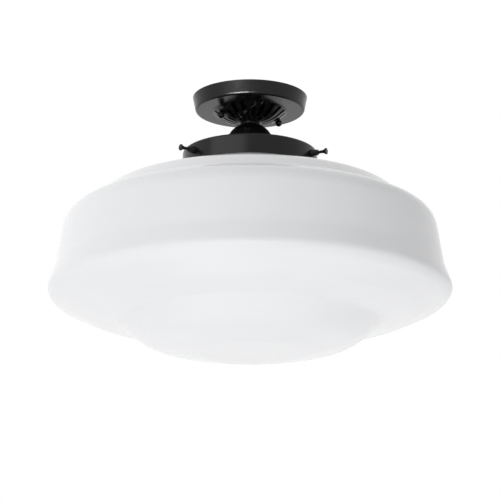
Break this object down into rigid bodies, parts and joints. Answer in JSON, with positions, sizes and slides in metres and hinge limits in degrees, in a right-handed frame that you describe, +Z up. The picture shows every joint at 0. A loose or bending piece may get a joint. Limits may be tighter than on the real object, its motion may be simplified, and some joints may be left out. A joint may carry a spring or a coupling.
{
  "type": "semi flush ceiling light",
  "caption": "Semi flush ceiling light with a vented black canopy, a bell neck, a screw fitter and one wide stepped opal glass shade round a medium-base lamp socket.",
  "frame": {"origin": "the point where the fixture's axis meets the ceiling plane, at the centre of the mounting plate's top face", "axes": "+Z up along the fixture's axis, into the ceiling; +X through the two canopy nuts; +Y along the two ceiling box slots"},
  "size_m": [0.4568, 0.4568, 0.303],
  "materials": {
    "black_metal": "satin black powder coat",
    "zinc_steel": "zinc plated",
    "black_oxide_steel": "black oxide",
    "ground_green": "green",
    "socket_cap_steel": "nickel plated",
    "porcelain": null,
    "brass": "bright",
    "grey_insulation": "matte",
    "black_insulation": "matte",
    "green_insulation": "matte",
    "connector_grey": "gloss",
    "opal_glass": "glossy opal white",
    "lamp_glass": "frosted",
    "lamp_cap_metal": "bright",
    "lamp_solder": "dull",
    "lamp_black_glass": "black",
    "lamp_clear_glass": "clear",
    "lamp_wire": "dull"
  },
  "bodies": {
    "fixture": {"mounting_plate": "black_metal", "canopy_studs": "black_oxide_steel", "stud_lock_nuts": "black_oxide_steel", "ground_screw": "ground_green", "canopy": "black_metal", "nipple": "black_oxide_steel", "canopy_washer": "black_oxide_steel", "canopy_lock_nut": "black_oxide_steel", "neck_ring": "black_metal", "bell": "black_metal", "fitter_cup": "black_metal", "screw_bosses": "black_metal", "fitter_washer": "zinc_steel", "fitter_lock_nut": "zinc_steel", "socket_cap": "socket_cap_steel", "socket_porcelain": "porcelain", "screw_shell": "brass", "centre_contact": "brass", "terminal_screws": "brass", "lead_neutral": "grey_insulation", "lead_live": "black_insulation", "ground_lead": "green_insulation", "wire_connectors": "connector_grey", "ground_connector": "connector_grey"},
    "nut_1": {"ball_nut_1": "black_metal"},
    "nut_2": {"ball_nut_2": "black_metal"},
    "screw_1": {"thumb_screw_1": "black_metal"},
    "screw_2": {"thumb_screw_2": "black_metal"},
    "screw_3": {"thumb_screw_3": "black_metal"},
    "shade": {"glass_shade": "opal_glass"},
    "lamp": {"lamp_bulb": "lamp_glass", "lamp_cap": "lamp_cap_metal", "lamp_contact": "lamp_solder", "lamp_insulator": "lamp_black_glass", "lamp_stem": "lamp_clear_glass", "lamp_filament": "lamp_wire"}
  },
  "joints": [
    {"name": "ball_nut_1_travel", "type": "slide", "parent": "fixture", "child": "nut_1", "axis": [0, 0, -1], "range_m": [0, 0.01]},
    {"name": "ball_nut_2_travel", "type": "slide", "parent": "fixture", "child": "nut_2", "axis": [0, 0, -1], "range_m": [0, 0.01]},
    {"name": "thumb_screw_1_travel", "type": "slide", "parent": "fixture", "child": "screw_1", "axis": [0.3256, 0.9455, 0], "range_m": [0, 0.005]},
    {"name": "thumb_screw_2_travel", "type": "slide", "parent": "fixture", "child": "screw_2", "axis": [-0.9816, -0.1908, 0], "range_m": [0, 0.005]},
    {"name": "thumb_screw_3_travel", "type": "slide", "parent": "fixture", "child": "screw_3", "axis": [0.6561, -0.7547, 0], "range_m": [0, 0.005]},
    {"name": "shade_lift", "type": "slide", "parent": "fixture", "child": "shade", "axis": [0, 0, 1], "range_m": [0, 0.0025]},
    {"name": "lamp_unscrew", "type": "slide", "parent": "fixture", "child": "lamp", "axis": [0, 0, -1], "range_m": [0, 0.027]}
  ]
}
